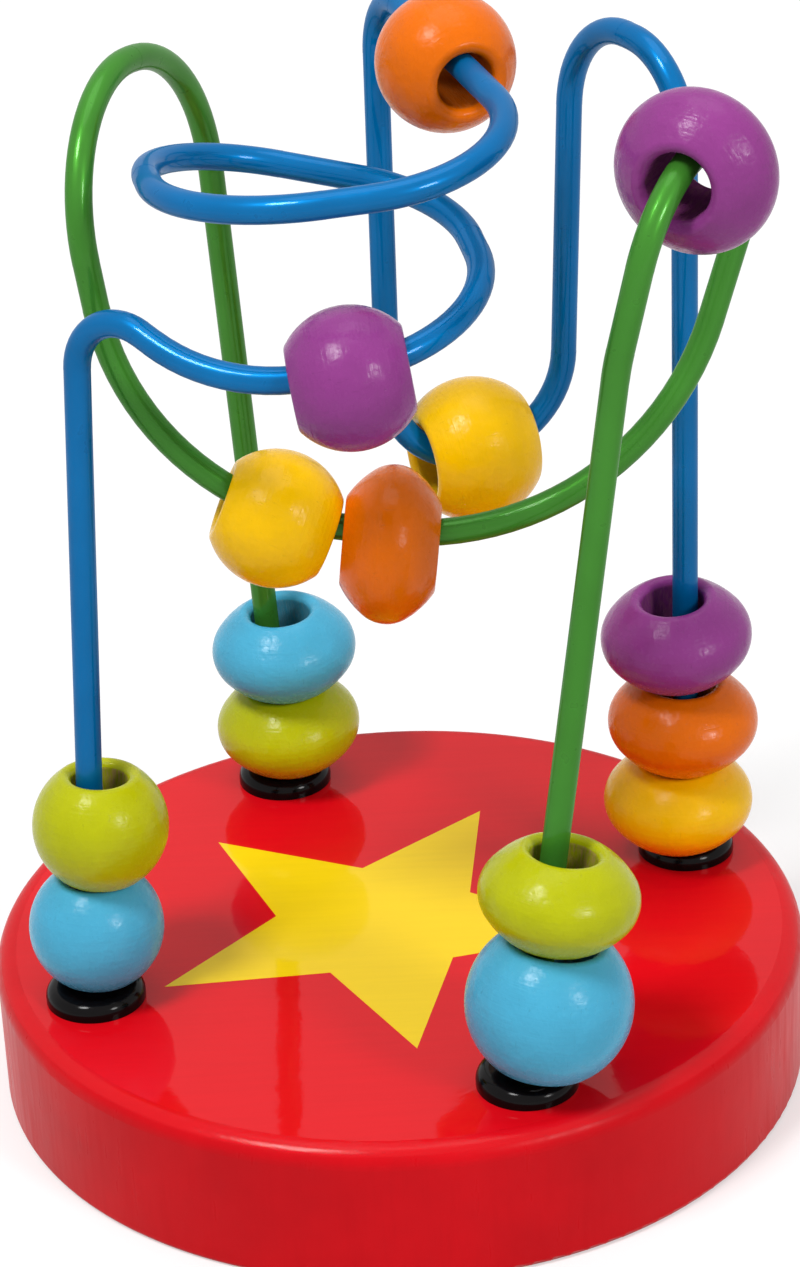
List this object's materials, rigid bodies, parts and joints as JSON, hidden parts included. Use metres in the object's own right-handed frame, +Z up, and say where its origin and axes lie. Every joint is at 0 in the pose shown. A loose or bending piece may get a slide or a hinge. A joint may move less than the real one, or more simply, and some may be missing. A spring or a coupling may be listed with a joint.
{
  "type": "bead maze",
  "caption": "Bead maze toy: two bent coloured wires stand in a round wooden base and carry painted wooden beads that slide along them.",
  "frame": {"origin": "centre of the underside of the round base", "axes": "+Z up; the front of the toy, the side with the two beads on the green wire's leg, faces -Y; +X is to the right as seen from the front"},
  "size_m": [0.12, 0.12, 0.161],
  "materials": {
    "base_red": "gloss paint",
    "bush_black": "glossy",
    "wire_blue": "gloss enamel",
    "wire_green": "gloss enamel",
    "bead_sky": "satin paint",
    "bead_lime": "satin paint",
    "bead_yellow": "satin paint",
    "bead_orange": "satin paint",
    "bead_purple": "satin paint"
  },
  "bodies": {
    "frame": {"base": "base_red", "bush_right": "bush_black", "bush_back": "bush_black", "bush_left": "bush_black", "bush_front": "bush_black", "wire_blue": "wire_blue", "wire_green": "wire_green"},
    "bead_left_1": {"bead_left_1": "bead_sky"},
    "bead_left_2": {"bead_left_2": "bead_lime"},
    "bead_right_1": {"bead_right_1": "bead_yellow"},
    "bead_right_2": {"bead_right_2": "bead_orange"},
    "bead_right_3": {"bead_right_3": "bead_purple"},
    "bead_back_1": {"bead_back_1": "bead_lime"},
    "bead_back_2": {"bead_back_2": "bead_sky"},
    "bead_front_1": {"bead_front_1": "bead_sky"},
    "bead_front_2": {"bead_front_2": "bead_lime"},
    "bead_loop": {"bead_loop": "bead_purple"},
    "bead_top": {"bead_top": "bead_orange"},
    "bead_dip": {"bead_dip": "bead_yellow"},
    "bead_valley_1": {"bead_valley_1": "bead_yellow"},
    "bead_valley_2": {"bead_valley_2": "bead_orange"},
    "bead_arch": {"bead_arch": "bead_purple"}
  },
  "joints": [
    {"name": "slide_left_1", "type": "slide", "parent": "frame", "child": "bead_left_1", "axis": [0.0501, 0.0565, 0.9971], "range_m": [0, 0.017]},
    {"name": "slide_left_2", "type": "slide", "parent": "bead_left_1", "child": "bead_left_2", "axis": [0.0501, 0.0565, 0.9971], "range_m": [0, 0.017]},
    {"name": "slide_right_1", "type": "slide", "parent": "frame", "child": "bead_right_1", "axis": [0.0052, -0.0401, 0.9992], "range_m": [0, 0.02]},
    {"name": "slide_right_2", "type": "slide", "parent": "bead_right_1", "child": "bead_right_2", "axis": [0.0052, -0.0401, 0.9992], "range_m": [0, 0.02]},
    {"name": "slide_right_3", "type": "slide", "parent": "bead_right_2", "child": "bead_right_3", "axis": [0.0052, -0.0401, 0.9992], "range_m": [0, 0.02]},
    {"name": "slide_back_1", "type": "slide", "parent": "frame", "child": "bead_back_1", "axis": [-0.0484, -0.0352, 0.9982], "range_m": [0, 0.035]},
    {"name": "slide_back_2", "type": "slide", "parent": "bead_back_1", "child": "bead_back_2", "axis": [-0.0484, -0.0352, 0.9982], "range_m": [0, 0.035]},
    {"name": "slide_front_1", "type": "slide", "parent": "frame", "child": "bead_front_1", "axis": [0.1457, 0.0909, 0.9852], "range_m": [0, 0.027]},
    {"name": "slide_front_2", "type": "slide", "parent": "bead_front_1", "child": "bead_front_2", "axis": [0.1457, 0.0909, 0.9852], "range_m": [0, 0.027]},
    {"name": "slide_top", "type": "slide", "parent": "frame", "child": "bead_top", "axis": [-0.3409, 0.9374, 0.071], "range_m": [-0.013, 0.013]},
    {"name": "ride_loop", "type": "hinge", "parent": "frame", "child": "bead_loop", "pos_m": [-0.00421, -0.00631, 0.12651], "axis": [-0.1221, -0.1753, 0.9769], "range_deg": [0, 90]},
    {"name": "ride_dip", "type": "hinge", "parent": "frame", "child": "bead_dip", "pos_m": [0.01357, 0.03088, 0.09635], "axis": [0.3213, -0.9285, 0.1864], "range_deg": [-80, 50]},
    {"name": "ride_valley_1", "type": "hinge", "parent": "frame", "child": "bead_valley_1", "pos_m": [0.00168, -0.00566, 0.12975], "axis": [-0.05, -0.997, 0.0598], "range_deg": [-20, 0]},
    {"name": "ride_valley_2", "type": "hinge", "parent": "frame", "child": "bead_valley_2", "pos_m": [0.0073, 0.00111, 0.13109], "axis": [-0.0275, -0.9745, 0.2226], "range_deg": [0, 40]},
    {"name": "ride_arch", "type": "hinge", "parent": "frame", "child": "bead_arch", "pos_m": [0.04133, -0.02161, 0.13622], "axis": [0.8657, -0.468, -0.1774], "range_deg": [0, 75]}
  ]
}
